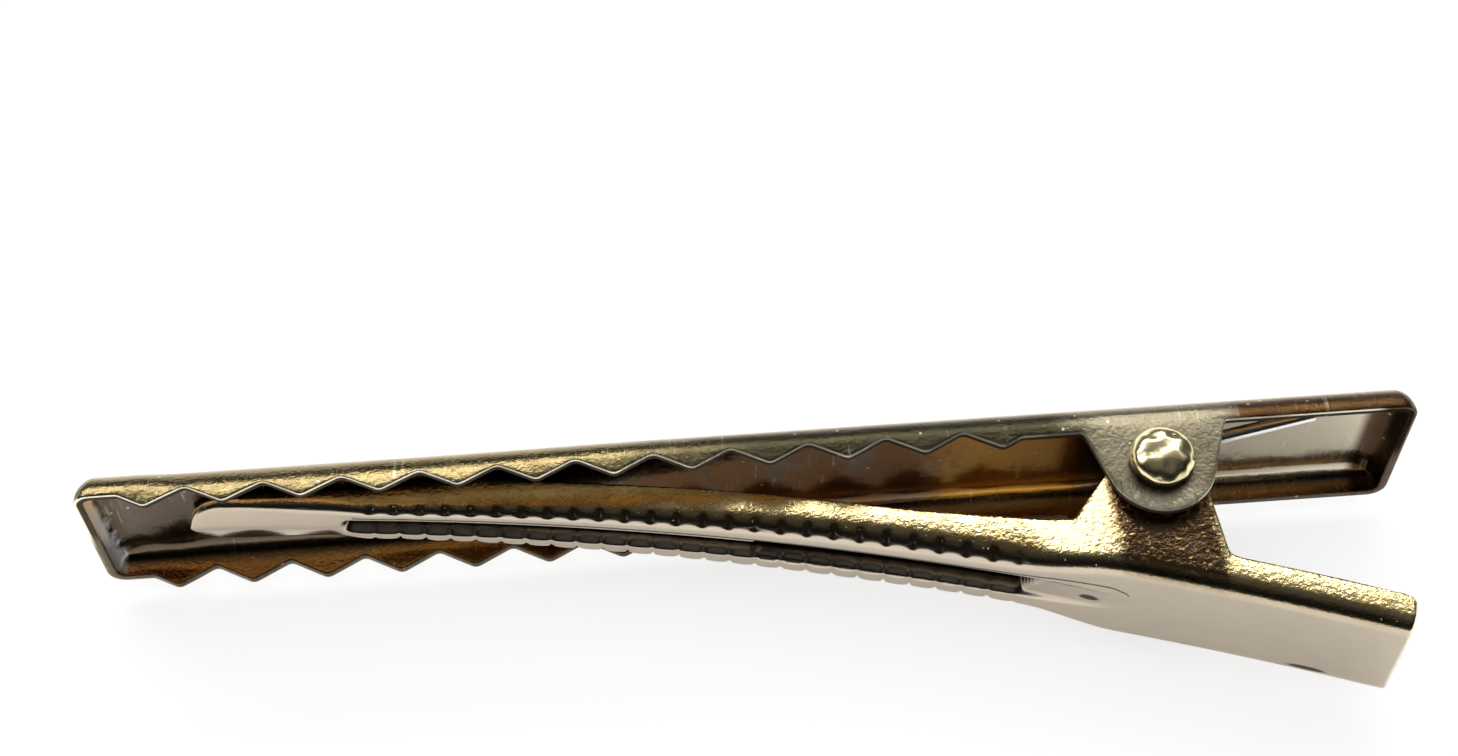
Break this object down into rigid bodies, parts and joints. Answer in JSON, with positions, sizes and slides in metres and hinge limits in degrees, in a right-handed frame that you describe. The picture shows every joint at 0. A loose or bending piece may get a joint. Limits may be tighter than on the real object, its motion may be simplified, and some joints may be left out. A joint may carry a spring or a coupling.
{
  "type": "alligator hair clip",
  "caption": "Flat sprung hair clip: a toothed plated steel top plate and a thumb lever with a long grooved prong, riveted together and held shut by a wire spring.",
  "frame": {"origin": "middle of the top plate's outer face, where an ornament or ribbon is fixed", "axes": "+X from the nose to the thumb end, +Y out of the ornament face, +Z along the rivet, up when the clip lies on its side"},
  "size_m": [0.057, 0.0116, 0.0096],
  "materials": {
    "plate_plating": "pale gold plating, bright, with fine cross brushing",
    "lever_plating": "pale gold plating, bright",
    "rivet_plating": "pale gold plating, peened heads",
    "spring_wire": "bright drawn wire"
  },
  "bodies": {
    "upper_jaw": {"top_plate": "plate_plating", "hinge_pin": "rivet_plating", "torsion_spring": "spring_wire"},
    "lower_jaw": {"lever": "lever_plating"}
  },
  "joints": [
    {"name": "lever_hinge", "type": "hinge", "parent": "upper_jaw", "child": "lower_jaw", "pos_m": [0.0171, -0.00335, 0], "axis": [0, 0, 1], "range_deg": [0, 40], "stiffness_Nm_per_rad": 0.02, "springref_deg": -20.05, "deforming": ["torsion_spring"]}
  ]
}
